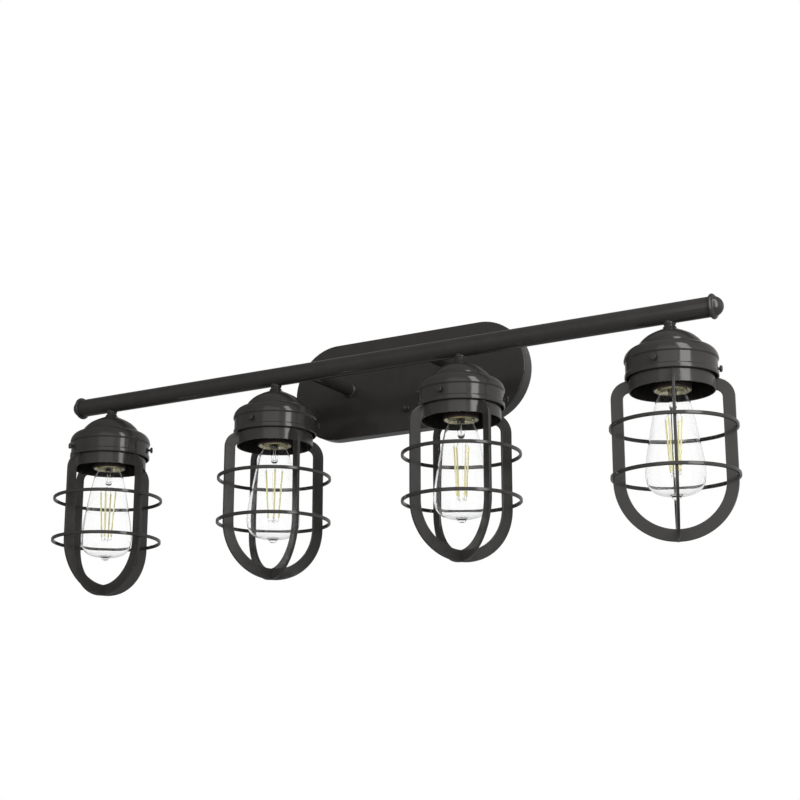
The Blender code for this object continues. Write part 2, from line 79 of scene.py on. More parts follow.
class Look:
    """A Principled material with helpers for the few nodes that the looks share."""

    def __init__(self, name, colour, roughness, metallic=0.0, **sockets):
        self.mat = bpy.data.materials.new(name)
        self.mat.use_nodes = True
        self.nodes = self.mat.node_tree.nodes
        self.links = self.mat.node_tree.links
        self.shader = self.nodes["Principled BSDF"]
        self.set("Base Color", (*colour, 1.0))
        self.set("Metallic", metallic)
        self.set("Roughness", roughness)
        for key, value in sockets.items():
            self.set(key.replace("_", " "), value)

    def set(self, socket, value):
        """A constant on one of the shader's own sockets."""
        self.shader.inputs[socket].default_value = value

    def noise(self, scale, detail, stretch=(1, 1, 1)):
        """Noise in the object's own coordinates, as a factor."""
        coords = self.nodes.new("ShaderNodeTexCoord")
        mapping = self.nodes.new("ShaderNodeMapping")
        mapping.inputs["Scale"].default_value = stretch
        tex = self.nodes.new("ShaderNodeTexNoise")
        tex.inputs["Scale"].default_value = scale
        tex.inputs["Detail"].default_value = detail
        tex.inputs["Roughness"].default_value = 0.55
        self.links.new(coords.outputs["Object"], mapping.inputs["Vector"])
        self.links.new(mapping.outputs["Vector"], tex.inputs["Vector"])
        return tex.outputs["Fac"]

    def ramp(self, source, stops):
        """Map a factor to colours; stops are (position, rgb)."""
        node = self.nodes.new("ShaderNodeValToRGB")
        while len(node.color_ramp.elements) < len(stops):
            node.color_ramp.elements.new(0.5)
        for element, (position, colour) in zip(node.color_ramp.elements, stops):
            element.position = position
            element.color = (*colour, 1.0)
        self.links.new(source, node.inputs["Fac"])
        return node.outputs["Color"]

    def spread(self, source, low, high):
        """Map a factor of 0.3 to 0.7 to a range of values."""
        node = self.nodes.new("ShaderNodeMapRange")
        node.inputs["From Min"].default_value = 0.3
        node.inputs["From Max"].default_value = 0.7
        node.inputs["To Min"].default_value = low
        node.inputs["To Max"].default_value = high
        self.links.new(source, node.inputs["Value"])
        return node.outputs["Result"]

    def link(self, socket, source):
        """A pattern on one of the shader's sockets."""
        self.links.new(source, self.shader.inputs[socket])

    def bump(self, source, distance, strength):
        """Fine relief, as high as the distance where the factor is one."""
        node = self.nodes.new("ShaderNodeBump")
        node.inputs["Distance"].default_value = distance
        node.inputs["Strength"].default_value = strength
        self.links.new(source, node.inputs["Height"])
        self.links.new(node.outputs["Normal"], self.shader.inputs["Normal"])


def paint(name, dark, light, roughness):
    """Baked enamel: faint mottling, slightly uneven gloss and fine orange peel."""
    look = Look(name, light, roughness=roughness, Specular_IOR_Level=0.5)
    look.link("Base Color", look.ramp(look.noise(55.0, 5.0), [(0.35, dark), (0.65, light)]))
    look.link("Roughness", look.spread(look.noise(140.0, 3.0), roughness - 0.03, roughness + 0.03))
    look.bump(look.noise(420.0, 2.0), 0.00001, 0.25)
    return look.mat


def metal(name, dark, light, roughness, grain=(1, 1, 1)):
    """Bare metal with tarnish clouds and fine drawing lines."""
    look = Look(name, light, metallic=1.0, roughness=roughness)
    look.link("Base Color", look.ramp(look.noise(160.0, 6.0), [(0.35, dark), (0.62, light)]))
    look.link("Roughness", look.spread(look.noise(500.0, 3.0, stretch=grain),
                                       roughness - 0.08, roughness + 0.10))
    look.bump(look.noise(1500.0, 2.0, stretch=grain), 0.00001, 0.5)
    return look.mat


def clear_glass(name, tint):
    """Thin clear glass: faint waviness and a hint of uneven tint."""
    look = Look(name, tint, roughness=0.0, Transmission_Weight=1.0, IOR=1.22)
    clear = tuple(min(1.0, channel + 0.004) for channel in tint)
    look.link("Base Color", look.ramp(look.noise(25.0, 1.0), [(0.3, tint), (0.7, clear)]))
    look.bump(look.noise(18.0, 1.0), 0.00004, 0.10)
    return look.mat


def moulded(name, dark, light, roughness):
    """Moulded phenolic or plastic with a slight flow pattern."""
    look = Look(name, light, roughness=roughness, Specular_IOR_Level=0.45)
    look.link("Base Color", look.ramp(look.noise(120.0, 4.0), [(0.38, dark), (0.62, light)]))
    look.bump(look.noise(1200.0, 3.0), 0.000015, 0.5)
    return look.mat


def phosphor_and_painted_glow(name):
    """Warm yellow coating of a filament strand, with its fine grain, and a faint painted glow."""
    look = Look(name, (0.62, 0.57, 0.28), roughness=0.55)
    look.link("Base Color", look.ramp(look.noise(2500.0, 2.0),
                                      [(0.35, (0.56, 0.50, 0.22)), (0.65, (0.70, 0.66, 0.36))]))
    # Painted glow: a weak emission makes the unlit strands look faintly lit.
    look.set("Emission Color", (0.95, 0.90, 0.50, 1.0))
    look.set("Emission Strength", 0.10)
    return look.mat


BRONZE = paint("bronze_paint", (0.0375, 0.0352, 0.0332), (0.0420, 0.0395, 0.0372), 0.13)
CAGE_PAINT = paint("cage_paint", (0.0400, 0.0382, 0.0358), (0.0445, 0.0425, 0.0398), 0.15)
ZINC = metal("zinc", (0.42, 0.43, 0.44), (0.58, 0.58, 0.57), 0.36, (1, 1, 12))
BRASS = metal("brass", (0.84, 0.76, 0.48), (0.97, 0.92, 0.70), 0.32)
NICKEL = metal("nickel_wire", (0.45, 0.44, 0.42), (0.62, 0.61, 0.58), 0.30)
GREEN = paint("green_screw", (0.03, 0.20, 0.06), (0.05, 0.28, 0.09), 0.35)
PHENOLIC = moulded("phenolic", (0.050, 0.037, 0.034), (0.062, 0.046, 0.042), 0.34)
BLACK_GLASS = moulded("black_glass", (0.010, 0.010, 0.012), (0.020, 0.020, 0.022), 0.15)
BLACK_WIRE = moulded("black_wire", (0.010, 0.010, 0.011), (0.020, 0.020, 0.022), 0.45)
WHITE_WIRE = moulded("white_wire", (0.70, 0.70, 0.68), (0.80, 0.80, 0.78), 0.45)
GLASS = clear_glass("clear_glass", (0.990, 0.994, 0.991))
STRAND = phosphor_and_painted_glow("filament_phosphor_and_painted_glow")


# Mesh tools ---------------------------------------------------------------------------------

EASE_STEPS = 4
CORNER_STEPS = 3


def eased(points, closed=False):
    """Round off corners: a point is (a, b) or (a, b, size), size being how far the ease reaches."""
    out = []
    count = len(points)
    for i, point in enumerate(points):
        here = Vector(point[:2])
        size = point[2] if len(point) > 2 else 0.0
        if size == 0.0 or (not closed and i in (0, count - 1)):
            out.append(tuple(here))
            continue
        back = Vector(points[i - 1][:2]) - here
        ahead = Vector(points[(i + 1) % count][:2]) - here
        start = here + back.normalized() * min(size, back.length * 0.5)
        end = here + ahead.normalized() * min(size, ahead.length * 0.5)
        for k in range(EASE_STEPS + 1):
            t = k / EASE_STEPS
            out.append(tuple(start * (1 - t) ** 2 + here * 2 * t * (1 - t) + end * t ** 2))
    return out


def arc(centre_a, centre_b, radius, start, end, steps):
    """Points on an arc between two angles in degrees."""
    turns = [radians(start + (end - start) * i / steps) for i in range(steps + 1)]
    return [(centre_a + radius * cos(a), centre_b + radius * sin(a)) for a in turns]


def flowing(points, steps):
    """A smooth curve through a few points, with so many steps from one to the next."""
    pts = [Vector(p) for p in points]
    pts = [pts[0] * 2 - pts[1]] + pts + [pts[-1] * 2 - pts[-2]]
    out = []
    for i in range(1, len(pts) - 2):
        p0, p1, p2, p3 = pts[i - 1:i + 3]
        for k in range(steps):
            t = k / steps
            out.append(0.5 * (2 * p1 + (p2 - p0) * t + (2 * p0 - 5 * p1 + 4 * p2 - p3) * t * t
                              + (3 * p1 - p0 - 3 * p2 + p3) * t ** 3))
    out.append(pts[-2])
    return [tuple(p) for p in out]


def finish_mesh(bm, name, sharp):
    """Mesh with outward normals, smooth but for the edges over the sharp angle."""
    bmesh.ops.recalc_face_normals(bm, faces=bm.faces)
    mesh = bpy.data.meshes.new(name)
    bm.to_mesh(mesh)
    bm.free()
    mesh.shade_smooth()
    mesh.set_sharp_from_angle(angle=radians(sharp))
    return mesh


def skin(bm, rings):
    """Quads between successive rings of vertices; a ring of one vertex closes as a fan."""
    for first, second in zip(rings, rings[1:]):
        count = max(len(first), len(second))
        for i in range(count):
            j = (i + 1) % count
            corners = [first[i % len(first)], first[j % len(first)],
                       second[j % len(second)], second[i % len(second)]]
            unique = list(dict.fromkeys(corners))
            if len(unique) > 2:
                bm.faces.new(unique)


def lathe(name, outline, segments=SEGMENTS, closed=False, sharp=35, shape=None):
    """Turn an outline of (radius, height) about Z. shape(radius, height, angle) may alter radii."""
    bm = bmesh.new()
    rings = []
    for radius, height in outline:
        if radius < 1e-7:
            rings.append([bm.verts.new((0, 0, height))])
            continue
        ring = []
        for i in range(segments):
            a = tau * i / segments
            r = shape(radius, height, a) if shape else radius
            ring.append(bm.verts.new((r * cos(a), r * sin(a), height)))
        rings.append(ring)
    if closed:
        rings.append(rings[0])
    skin(bm, rings)
    return finish_mesh(bm, name, sharp)


def swept(name, stations, section, sharp):
    """Sweep a section along stations of (point, across, up); the ends are capped."""
    bm = bmesh.new()
    rings = [[bm.verts.new(p + across * a + up * b) for a, b in section]
             for p, across, up in stations]
    skin(bm, rings)
    bm.faces.new(rings[0])
    bm.faces.new(rings[-1])
    return finish_mesh(bm, name, sharp)


def rounded_section(half_a, half_b, corner):
    """Rectangle with rounded corners, as (a, b) points."""
    out = []
    for sa, sb, start in ((1, 1, 0), (-1, 1, 90), (-1, -1, 180), (1, -1, 270)):
        out += arc(sa * (half_a - corner), sb * (half_b - corner), corner, start, start + 90,
                   CORNER_STEPS)
    return out


def round_section(radius, sides):
    """Circle, as (a, b) points."""
    return [(radius * cos(tau * i / sides), radius * sin(tau * i / sides)) for i in range(sides)]


def tube(name, points, radius, sides):
    """A round wire through 3-D points."""
    pts = [Vector(p) for p in points]
    stations = []
    up = Vector((0.13, 0.31, 0.94))
    for i, point in enumerate(pts):
        along = (pts[min(i + 1, len(pts) - 1)] - pts[max(i - 1, 0)]).normalized()
        across = along.cross(up).normalized()
        up = across.cross(along).normalized()
        stations.append((point, across, up))
    return swept(name, stations, round_section(radius, sides), sharp=60)


def grouped(name, meshes):
    """Several separate shapes in one mesh."""
    bm = bmesh.new()
    for mesh in meshes:
        bm.from_mesh(mesh)
        bpy.data.meshes.remove(mesh)
    return finish_mesh(bm, name, 60)


def evaluated(name, base, helpers=()):
    """Mesh of an object as its curve or modifiers make it; the objects are then removed."""
    for obj in (base, *helpers):
        bpy.context.scene.collection.objects.link(obj)
    bpy.context.view_layer.update()
    graph = bpy.context.evaluated_depsgraph_get()
    mesh = bpy.data.meshes.new_from_object(base.evaluated_get(graph))
    for obj in (base, *helpers):
        bpy.data.objects.remove(obj)
    mesh.name = name
    return mesh


def combined(name, operation, meshes):
    """Union of closed meshes, or the first one less the others."""
    base, *others = [bpy.data.objects.new(name, mesh) for mesh in meshes]
    for other in others:
        modifier = base.modifiers.new(name, "BOOLEAN")
        modifier.operation = operation
        modifier.solver = "EXACT"
        modifier.object = other
    return evaluated(name, base, others)


def piece(name, mesh, look, body, stands_for=(), place=Matrix.Identity(4)):
    """Put a mesh in the scene, moved to its place, as a piece that rides on a body."""
    mesh.transform(place)
    obj = bpy.data.objects.new(name, mesh)
    bpy.context.scene.collection.objects.link(obj)
    mesh.materials.clear()
    mesh.materials.append(look)
    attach(obj, body)
    if stands_for:
        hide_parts(*stands_for)


def at(x, y=BAR_Y, z=0.0):
    """Move to a place, on the bar's axis if nothing else is said."""
    return Matrix.Translation((x, y, z))


def turned(angle):
    """Turn about the vertical, in radians."""
    return Matrix.Rotation(angle, 4, "Z")


OUTWARD = Matrix.Rotation(pi / 2, 4, "X")       # local Z points to the room
ALONG = Matrix.Rotation(pi / 2, 4, "Y")         # local Z points along the bar


def scaled(points):
    """Outline in millimetres to metres; a third value is an ease and scales too."""
    return [tuple(v * MM for v in p) for p in points]


# Wall side ----------------------------------------------------------------------------------

PAN_END_STEPS = 40            # round each half-round end


def stadium_ring(bm, inset, y):
    """The canopy's outline, set in from its edge."""
    half_l = CANOPY_HIGH.x - inset
    half_h = CANOPY_HIGH.z - inset
    reach = half_l - half_h
    points = [(reach + a, b) for a, b in arc(0, 0, half_h, -90, 90, PAN_END_STEPS)]
    points += [(a - reach, b) for a, b in arc(0, 0, half_h, 90, 270, PAN_END_STEPS)]
    return [bm.verts.new((x, y, z)) for x, z in points]


PAN_WALL = 1.2 * MM
PAN_EDGE = 2.0 * MM           # radius of the drawn edge, outside
PAN_EDGE_INSIDE = 1.28 * MM


def make_canopy():
    """Pressed pan: a drawn edge in front, a thin open rim at the wall."""
    edge, inside = PAN_EDGE, PAN_EDGE_INSIDE
    outline = [(0, 0), (0, -CANOPY_DEPTH + edge)]
    outline += [(edge - a, -CANOPY_DEPTH + edge - b) for a, b in arc(0, 0, edge, 10, 90, 8)]
    hollow = [(PAN_WALL + inside - a, -CANOPY_DEPTH + PAN_WALL + inside - b)
              for a, b in arc(0, 0, inside, 90, 0, 5)]
    bm = bmesh.new()
    rings = [stadium_ring(bm, inset, y) for inset, y in outline]
    back = [stadium_ring(bm, inset, y) for inset, y in hollow + [(PAN_WALL, 0)]]
    skin(bm, rings)
    skin(bm, back + [rings[0]])
    bm.faces.new(rings[-1])
    bm.faces.new(back[0])
    piece("canopy_pan", finish_mesh(bm, "canopy_pan", 40), BRONZE, FIXTURE,
          ["canopy"])


def thread(pitch, depth, low, high):
    """Radius change of a rolled thread between two heights, fading out at its ends."""
    def shape(radius, height, angle):
        if not low < height < high:
            return radius
        fade = min(1.0, (height - low) / pitch, (high - height) / pitch)
        return radius - depth * fade * (0.5 - 0.5 * cos(tau * height / pitch - angle))
    return shape


def even(radius, start, end, step):
    """Evenly spaced outline points down one side of a threaded stretch."""
    count = max(2, round(abs(start - end) / step))
    return [(radius, start + (end - start) * i / count) for i in range(count + 1)]


STRAP_THICK = 2.0 * MM
STRAP_EDGE = 0.15 * MM        # how far the strap's edges are eased
STRAP_CORNER = 3.0 * MM
SLOT_Z = 43.5 * MM
SLOT_HALF = 3.0 * MM
SLOT_RADIUS = 2.1 * MM
GROUND_HOLE_RADIUS = 1.9 * MM
STUD_RADIUS = 2.0 * MM
STUD_PITCH = 0.8 * MM
STUD_THREAD = 0.3 * MM


def strap_plate(half_w, half_h):
    """Flat strap with a screw slot at each end and the ground screw's hole."""
    corners = [(half_w, half_h), (-half_w, half_h), (-half_w, -half_h), (half_w, -half_h)]
    outlines = [eased([(x, z, STRAP_CORNER) for x, z in corners], closed=True)]
    for z in (SLOT_Z, -SLOT_Z):
        outlines.append(arc(SLOT_HALF, z, SLOT_RADIUS, -90, 90, 8)
                        + arc(-SLOT_HALF, z, SLOT_RADIUS, 90, 270, 8))
    ground = middle("ground_screw")
    outlines.append(arc(ground.x, ground.z, GROUND_HOLE_RADIUS, 0, 345, 23))

    curve = bpy.data.curves.new("strap", "CURVE")
    curve.dimensions = "2D"
    curve.fill_mode = "BOTH"
    curve.extrude = STRAP_THICK / 2 - STRAP_EDGE
    curve.bevel_depth = STRAP_EDGE
    curve.bevel_resolution = 1
    for points in outlines:
        spline = curve.splines.new("POLY")
        spline.points.add(len(points) - 1)
        for point, (x, z) in zip(spline.points, points):
            point.co = (x, z, 0.0, 1.0)
        spline.use_cyclic_u = True
    bm = bmesh.new()
    bm.from_mesh(evaluated("strap", bpy.data.objects.new("strap", curve)))
    bmesh.ops.remove_doubles(bm, verts=bm.verts, dist=1e-6)
    return finish_mesh(bm, "strap_plate", 30)


def make_strap():
    """Steel strap, and the two threaded studs that the cap nuts go on."""
    low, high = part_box("mounting_strap")
    place = Matrix.Translation((0, -STRAP_THICK / 2, 0)) @ OUTWARD
    piece("strap_plate", strap_plate(high.x, high.z), ZINC, FIXTURE,
          ["mounting_strap"], place)
    tip = -low.y
    for side in ("upper", "lower"):
        z = middle(f"cap_nut_{side}").z
        outline = [(0, tip)] + even(STUD_RADIUS, tip - 0.2 * MM, STRAP_THICK, 0.12 * MM)
        outline += [(0, STRAP_THICK)]
        rolled = thread(STUD_PITCH, STUD_THREAD, STRAP_THICK, tip)
        stud = lathe(f"stud_{side}", outline, 32, shape=rolled)
        piece(f"stud_{side}", stud, ZINC, FIXTURE, (), at(0, 0, z) @ OUTWARD)


SCREW_SLOT = Vector((5.2, 0.8, 1.4)) * MM      # length, width and depth of its cutter


def make_ground_screw():
    """Washer-head screw with a driver slot."""
    centre = middle("ground_screw")
    tip = -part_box("ground_screw")[0].y
    head = scaled([(0, 0), (2.0, -0.1), (3.1, -0.7), (3.4, -1.3), (3.4, -2.1), (1.8, -2.1),
                   (1.8, -3.8), (0, -3.8)])
    screw = lathe("ground_screw", [(r, tip + z) for r, z in head], 40)
    bm = bmesh.new()
    bmesh.ops.create_cube(bm, size=1.0)
    bmesh.ops.scale(bm, vec=SCREW_SLOT, verts=bm.verts)
    bmesh.ops.translate(bm, vec=(0, 0, tip + 0.1 * MM), verts=bm.verts)
    cutter = finish_mesh(bm, "cutter", 30)
    slotted = combined("ground_screw_head", "DIFFERENCE", [screw, cutter])
    piece("ground_screw_head", slotted, GREEN, FIXTURE, ["ground_screw"],
          at(centre.x, 0, centre.z) @ OUTWARD)


def make_cap_nuts():
    """Domed nuts with a plain skirt against the canopy."""
    face = CANOPY_DEPTH + 0.3 * MM
    for side in ("upper", "lower"):
        node = f"cap_nut_{side}"
        centre, tip = middle(node), -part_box(node)[0].y
        outline = eased([(0, tip), (1.8 * MM, tip - 0.2 * MM, 0.8 * MM),
                         (3.7 * MM, tip - 2.8 * MM, 2.4 * MM), (3.7 * MM, face + 1.8 * MM, 0.5 * MM),
                         (4.4 * MM, face + 1.3 * MM, 0.3 * MM), (4.4 * MM, face, 0.2 * MM),
                         (2.3 * MM, face), (2.3 * MM, face + 5 * MM), (0, face + 5 * MM)])
        piece(f"{node}_dome", lathe(f"{node}_dome", outline, 64), BRONZE, FIXTURE,
              [node], at(centre.x, 0, centre.z) @ OUTWARD)


def make_wires():
    """The conductors keep their CAD shape and get an insulation look."""
    for node, look in (("wire_line", BLACK_WIRE), ("wire_neutral", WHITE_WIRE)):
        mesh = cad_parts[node].data
        mesh.materials.clear()
        mesh.materials.append(look)


# Bar ----------------------------------------------------------------------------------------

SADDLE_GAP = 0.05 * MM        # left between the bar and whatever is shaped to sit on it
TUBE_WALL = 1.4 * MM
ARM_RADIUS = 7.0 * MM
ARM_BORE = 4.5 * MM
COLLAR_RADIUS = 9.0 * MM
ARM_ROOT = 6.0 * MM           # how far an arm reaches in behind the canopy's face


def bar_surface(across):
    """How far the bar's surface stands from its axis, at a distance to one side of it."""
    return sqrt(BAR_RADIUS ** 2 - across ** 2)


def saddle(mesh, above):
    """Drop the end of an arm onto the bar's round surface."""
    for vert in mesh.vertices:
        if vert.co.z > above:
            across = min(abs(vert.co.y), BAR_RADIUS * 0.98)
            vert.co.z = -BAR_Y - bar_surface(across) - SADDLE_GAP
    mesh.update()


def make_arms():
    """Tube from canopy to bar, with a stepped collar at the canopy and a saddled outer end."""
    face = CANOPY_DEPTH + 0.2 * MM
    end = -BAR_Y - BAR_RADIUS
    outline = eased([(ARM_BORE, end + 3 * MM), (ARM_RADIUS, end + 3 * MM),
                     (ARM_RADIUS, face + 3.0 * MM, 1 * MM), (8.4 * MM, face + 2.2 * MM, 0.6 * MM),
                     (COLLAR_RADIUS, face + 1.0 * MM, 0.4 * MM), (COLLAR_RADIUS, face),
                     (5.5 * MM, face), (5.5 * MM, face - ARM_ROOT),
                     (ARM_BORE, face - ARM_ROOT)], closed=True)
    for side in ("left", "right"):
        node = f"arm_{side}"
        mesh = lathe(f"{node}_tube", outline, 72, closed=True)
        saddle(mesh, end + 1 * MM)
        piece(f"{node}_tube", mesh, BRONZE, FIXTURE, [node],
              at(middle(node).x, 0, 0) @ OUTWARD)


def make_bar():
    """Open tube with eased ends."""
    outline = eased([(BAR_RADIUS, BAR_HALF, 0.4 * MM), (BAR_RADIUS, -BAR_HALF, 0.4 * MM),
                     (BAR_RADIUS - TUBE_WALL, -BAR_HALF), (BAR_RADIUS - TUBE_WALL, BAR_HALF)],
                    closed=True)
    piece("bar_tube", lathe("bar_tube", outline, closed=True), BRONZE, FIXTURE,
          ["bar"], at(0) @ ALONG)


PLUG_RADIUS = 8.9 * MM
PLUG_LENGTH = 8.0 * MM


def make_end_buttons():
    """Button with a soft flange and a bluntly pointed dome, pressed into the end of the bar."""
    root = BAR_HALF + 0.2 * MM
    for side, turn in (("left", -1), ("right", 1)):
        node = f"end_cap_{side}"
        low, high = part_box(node)
        tip = max(abs(low.x), abs(high.x))
        flange = (high.z - low.z) / 2
        dome = [(r * MM, tip - z * MM) for r, z in ((0, 0), (2.4, 0.25), (4.8, 1.1), (7.1, 2.8),
                                                    (8.9, 5.0), (9.9, 7.0))]
        rim = [(10.3 * MM, tip - 7.8 * MM, 0.3 * MM), (11.5 * MM, root + 4.4 * MM, 0.5 * MM),
               (flange, root + 2.8 * MM, 1.2 * MM), (flange, root + 1.2 * MM, 0.8 * MM),
               (12.3 * MM, root + 0.1 * MM, 0.4 * MM), (BAR_RADIUS, root, 0.2 * MM),
               (PLUG_RADIUS, root), (PLUG_RADIUS, root - PLUG_LENGTH), (0, root - PLUG_LENGTH)]
        outline = flowing(dome, 5) + eased([dome[-1]] + rim)[1:]
        place = at(0) @ Matrix.Rotation(turn * pi / 2, 4, "Y")
        piece(f"{node}_button", lathe(f"{node}_button", outline), BRONZE, FIXTURE,
              [node], place)


# Lamp heads ---------------------------------------------------------------------------------

def make_stem(n):
    """Turned neck between bar and cap: a bead, a waist and a foot, on the threaded nipple."""
    neck = scaled([(4.0, -6.2), (4.8, -6.2), (4.8, -9.6), (6.4, -9.6, 0.3), (6.6, -11.6, 0.9),
                   (5.6, -12.7, 0.6), (5.5, -13.6, 0.6), (6.9, -14.7, 0.5), (7.0, -15.3, 0.2),
                   (4.8, -15.3), (4.8, -43.4), (4.0, -43.4)])
    mesh = lathe(f"stem_neck_{n}", eased(neck, closed=True), 72, closed=True)
    for vert in mesh.vertices:
        radius = sqrt(vert.co.x ** 2 + vert.co.y ** 2)
        if radius > 5.0 * MM and vert.co.z > -11.0 * MM:
            vert.co.z = min(-bar_surface(vert.co.y) - SADDLE_GAP, vert.co.z + 2 * MM)
    piece(f"stem_neck_{n}", mesh, BRONZE, FIXTURE, [f"stem_{n}"], at(LAMP_X[n]))


def make_cap(n):
    """Spun bell: a slim flared throat that swells to a dome with a small rolled edge."""
    outer = flowing(scaled([(7.0, -15.5), (7.6, -16.4), (9.4, -17.7), (13.0, -19.4), (18.0, -21.7),
                            (24.5, -25.4), (29.5, -29.8), (32.4, -33.4), (33.5, -35.8)]), 6)
    edge = eased(scaled([(33.5, -35.8), (33.8, -36.4, 0.2), (33.3, -36.5, 0.2), (32.8, -36.4)]))
    inner = flowing(scaled([(32.4, -35.8), (31.3, -33.8), (28.5, -30.4), (23.8, -26.4), (17.5, -22.8),
                            (12.5, -20.5), (8.4, -18.8), (5.1, -17.6)]), 4)
    outline = outer + edge[1:] + inner + scaled([(5.1, -15.5)])
    piece(f"cap_bell_{n}", lathe(f"cap_bell_{n}", outline, 112, closed=True), BRONZE,
          FIXTURE, [f"cap_{n}"], at(LAMP_X[n]))


def make_holder(n):
    """Spun cup: domed shoulder, a step down to the straight wall, and a rolled lip below."""
    shoulder = flowing(scaled([(33.9, -36.8), (36.6, -37.2), (40.0, -38.4), (43.4, -40.7), (46.2, -44.4),
                               (47.5, -48.2)]), 6)
    wall = scaled([(47.7, -50.6, 0.7), (46.4, -51.9, 0.5), (46.3, -52.6, 0.3), (46.3, -63.4, 0.3),
                   (47.2, -64.4, 0.5), (47.3, -68.3, 0.4), (46.9, -69.0, 0.4), (45.5, -69.0, 0.3),
                   (45.3, -66.0), (45.3, -49.4, 3.0), (42.4, -41.6, 3.0), (37.5, -38.5, 2.0), (33.6, -37.8),
                   (5.1, -37.8), (5.1, -36.8)])
    outline = shoulder + eased([shoulder[-1]] + wall)[1:]
    cup = lathe(f"holder_cup_{n}", outline, 144, closed=True, sharp=14)
    piece(f"holder_cup_{n}", cup, BRONZE, FIXTURE, [f"holder_{n}"], at(LAMP_X[n]))


def knurl(radius_from, teeth, depth):
    """Radius change of a knurled rim, outside a given radius."""
    def shape(radius, height, angle):
        if radius < radius_from:
            return radius
        return radius - depth * (0.5 - 0.5 * cos(teeth * angle))
    return shape


def make_thumbscrews(n):
    """Small knurled screws, each a knurled head on a plain shank."""
    for key in "abc":
        name = f"thumbscrew_{n}{key}"
        spot = middle(name)
        azimuth = atan2(spot.x - LAMP_X[n], BAR_Y - spot.y)
        place = at(LAMP_X[n], BAR_Y, spot.z) @ turned(azimuth) @ OUTWARD
        outline = eased(scaled([(0, 51.2), (2.9, 51.2, 0.3), (3.5, 50.7, 0.3), (3.5, 49.2, 0.3),
                                (3.0, 48.6, 0.2), (1.5, 48.5, 0.1), (1.5, 43.6, 0.2), (0, 43.5)]))
        mesh = lathe(f"{name}_fine", outline, 96, shape=knurl(3.2 * MM, 22, 0.22 * MM))
        piece(f"{name}_fine", mesh, BRONZE, f"screw_{n}{key}", [name], place)


def make_socket(n):
    """Phenolic socket body with a brass screw shell that flares out at the mouth."""
    body = eased(scaled([(0, -44.0), (17.2, -44.0, 0.8), (19.5, -46.0, 0.8), (19.5, -60.0, 0.3),
                         (19.0, -60.6, 0.3), (19.0, -62.0, 0.3), (19.5, -62.6, 0.3), (19.5, -80.4, 0.6),
                         (18.9, -81.5, 0.5), (17.9, -81.5, 0.4), (17.6, -80.6, 0.4), (15.2, -79.4, 0.5),
                         (15.2, -52.6), (0, -52.6)]))
    piece(f"socket_body_{n}", lathe(f"socket_body_{n}", body, 80), PHENOLIC, FIXTURE,
          [f"socket_{n}"], at(LAMP_X[n]))
    liner = even(14.9 * MM, -53.5 * MM, -78.4 * MM, 0.45 * MM)
    liner += scaled([(15.1, -79.3), (16.2, -80.3), (17.5, -80.9), (18.7, -81.0), (18.7, -81.4),
                     (17.4, -81.3), (16.0, -80.7), (14.6, -79.5)])
    liner += even(14.5 * MM, -78.4 * MM, -53.5 * MM, 0.45 * MM)
    shape = thread(E26_PITCH, 0.55 * MM, -77.0 * MM, -54 * MM)
    piece(f"socket_shell_{n}", lathe(f"socket_shell_{n}", liner, 64, closed=True, shape=shape),
          BRASS, FIXTURE, (), at(LAMP_X[n]))


def make_bulb_base(n):
    """Rolled brass screw shell, black glass insulator and centre contact."""
    body = f"bulb_{n}"
    outer = even(13.1 * MM, -59.6 * MM, -80.6 * MM, 0.4 * MM)
    shell = scaled([(9.4, -58.0), (11.6, -58.4)]) + outer
    shell += scaled([(13.2, -81.3), (12.7, -81.6), (12.3, -81.0), (12.0, -60.5), (9.4, -59.0)])
    shape = thread(E26_PITCH, 0.8 * MM, -80.0 * MM, -59.8 * MM)
    piece(f"bulb_shell_{n}", lathe(f"bulb_shell_{n}", shell, 72, closed=True, shape=shape), BRASS,
          body, [f"bulb_base_{n}"], at(LAMP_X[n]))
    insulator = eased(scaled([(0, -55.2), (3.6, -55.0), (5.6, -55.4, 0.4), (9.6, -57.9, 0.6),
                              (9.6, -59.4), (0, -59.4)]))
    piece(f"bulb_insulator_{n}", lathe(f"bulb_insulator_{n}", insulator, 56), BLACK_GLASS,
          body, (), at(LAMP_X[n]))
    contact = eased(scaled([(0, -53.2), (2.6, -53.5, 0.6), (4.0, -54.8, 0.5), (4.0, -55.6), (0, -55.6)]))
    piece(f"bulb_contact_{n}", lathe(f"bulb_contact_{n}", contact, 40), BRASS, body, (),
          at(LAMP_X[n]))


GLASS_WALL = 0.7 * MM


def make_envelope(n):
    """Long-neck envelope: widening sides, flattish bottom and a drawn tip."""
    side = flowing(scaled([(11.9, -66.0), (11.9, -79.0), (12.6, -82.4), (14.6, -85.2), (17.2, -91.5),
                           (20.4, -106.0), (24.6, -128.0), (28.4, -150.0), (29.9, -163.0), (29.6, -171.0),
                           (27.2, -179.0), (21.0, -185.0), (12.0, -187.6), (6.2, -188.0)]), 7)
    tip = flowing(scaled([(6.2, -188.0), (5.0, -188.9), (4.7, -190.2), (3.4, -192.2), (0, -193.0)]), 4)
    inner = []
    for i, (r, z) in enumerate(side):
        r0, z0 = side[max(i - 1, 0)]
        r1, z1 = side[min(i + 1, len(side) - 1)]
        along = Vector((r1 - r0, z1 - z0)).normalized()
        inner.append((max(r + along.y * GLASS_WALL, 0.0), z - along.x * GLASS_WALL))
    outline = [(0, inner[-1][1])] + inner[::-1] + side + tip[1:]
    mesh = lathe(f"bulb_envelope_{n}", outline, 96, sharp=60)
    piece(f"bulb_envelope_{n}", mesh, GLASS, f"bulb_{n}", [f"bulb_glass_{n}"],
          at(LAMP_X[n]))


